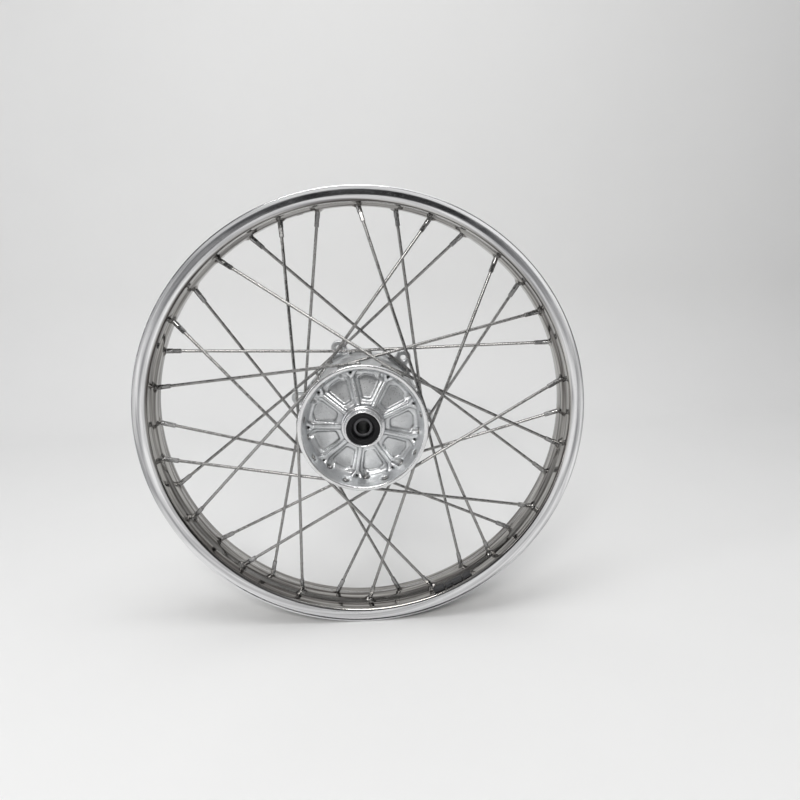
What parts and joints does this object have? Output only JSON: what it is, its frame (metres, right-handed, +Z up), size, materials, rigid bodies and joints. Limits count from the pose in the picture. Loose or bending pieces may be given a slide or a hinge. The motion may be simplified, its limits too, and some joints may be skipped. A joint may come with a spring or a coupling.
{
  "type": "spoked motorcycle wheel",
  "caption": "Wire-spoked motorcycle wheel: a steel rim laced by crossed spokes to a cast drum-shaped hub with a ribbed side, free to spin on sealed ball bearings.",
  "frame": {"origin": "on the wheel's axis, in the middle plane of the rim", "axes": "+Y along the axis, towards the brake-disc side; -Y is the side with the ribbed hub cup; +Z up, with one near spoke's nipple at the very top"},
  "size_m": [0.512, 0.1094, 0.512],
  "materials": {
    "rim_chrome": "chrome plate over rolled steel",
    "hub_casting": "as-cast, with machined lip and boss",
    "spoke_steel": "zinc plated, dull",
    "nipple_steel": "zinc plated, darker than the spokes",
    "race_steel": "ground",
    "ball_steel": "polished",
    "cage_steel": "pressed",
    "seal_rubber": "matt",
    "spacer_steel": "drawn tube",
    "weight_black": "satin black coating"
  },
  "bodies": {
    "axle_core": {"bearing_inner_race_near": "race_steel", "bearing_inner_race_far": "race_steel", "bearing_spacer_tube": "spacer_steel"},
    "wheel": {"rim": "rim_chrome", "hub": "hub_casting", "spoke_near_01": "spoke_steel", "spoke_near_02": "spoke_steel", "spoke_near_03": "spoke_steel", "spoke_near_04": "spoke_steel", "spoke_near_05": "spoke_steel", "spoke_near_06": "spoke_steel", "spoke_near_07": "spoke_steel", "spoke_near_08": "spoke_steel", "spoke_near_09": "spoke_steel", "spoke_near_10": "spoke_steel", "spoke_near_11": "spoke_steel", "spoke_near_12": "spoke_steel", "spoke_near_13": "spoke_steel", "spoke_near_14": "spoke_steel", "spoke_near_15": "spoke_steel", "spoke_near_16": "spoke_steel", "spoke_near_17": "spoke_steel", "spoke_near_18": "spoke_steel", "spoke_far_01": "spoke_steel", "spoke_far_02": "spoke_steel", "spoke_far_03": "spoke_steel", "spoke_far_04": "spoke_steel", "spoke_far_05": "spoke_steel", "spoke_far_06": "spoke_steel", "spoke_far_07": "spoke_steel", "spoke_far_08": "spoke_steel", "spoke_far_09": "spoke_steel", "spoke_far_10": "spoke_steel", "spoke_far_11": "spoke_steel", "spoke_far_12": "spoke_steel", "spoke_far_13": "spoke_steel", "spoke_far_14": "spoke_steel", "spoke_far_15": "spoke_steel", "spoke_far_16": "spoke_steel", "spoke_far_17": "spoke_steel", "spoke_far_18": "spoke_steel", "nipples_near": "nipple_steel", "nipples_far": "nipple_steel", "bearing_outer_race_near": "race_steel", "bearing_outer_race_far": "race_steel", "bearing_shields_near": "seal_rubber", "bearing_shields_far": "seal_rubber", "dust_seal_near": "seal_rubber", "dust_seal_far": "seal_rubber", "balance_weights": "weight_black"},
    "ball_set_near": {"bearing_balls_near": "ball_steel", "bearing_cage_near": "cage_steel"},
    "ball_set_far": {"bearing_balls_far": "ball_steel", "bearing_cage_far": "cage_steel"}
  },
  "joints": [
    {"name": "wheel_spin", "type": "hinge", "parent": "axle_core", "child": "wheel", "pos_m": [0, 0, 0], "axis": [0, 1, 0], "continuous": true},
    {"name": "ball_set_near_spin", "type": "hinge", "parent": "axle_core", "child": "ball_set_near", "pos_m": [0, -0.041, 0], "axis": [0, 1, 0], "continuous": true},
    {"name": "ball_set_far_spin", "type": "hinge", "parent": "axle_core", "child": "ball_set_far", "pos_m": [0, 0.0395, 0], "axis": [0, 1, 0], "continuous": true}
  ],
  "couplings": [
    {"joint": "ball_set_near_spin", "follows": "wheel_spin", "ratio": 0.6151},
    {"joint": "ball_set_far_spin", "follows": "wheel_spin", "ratio": 0.6151}
  ]
}
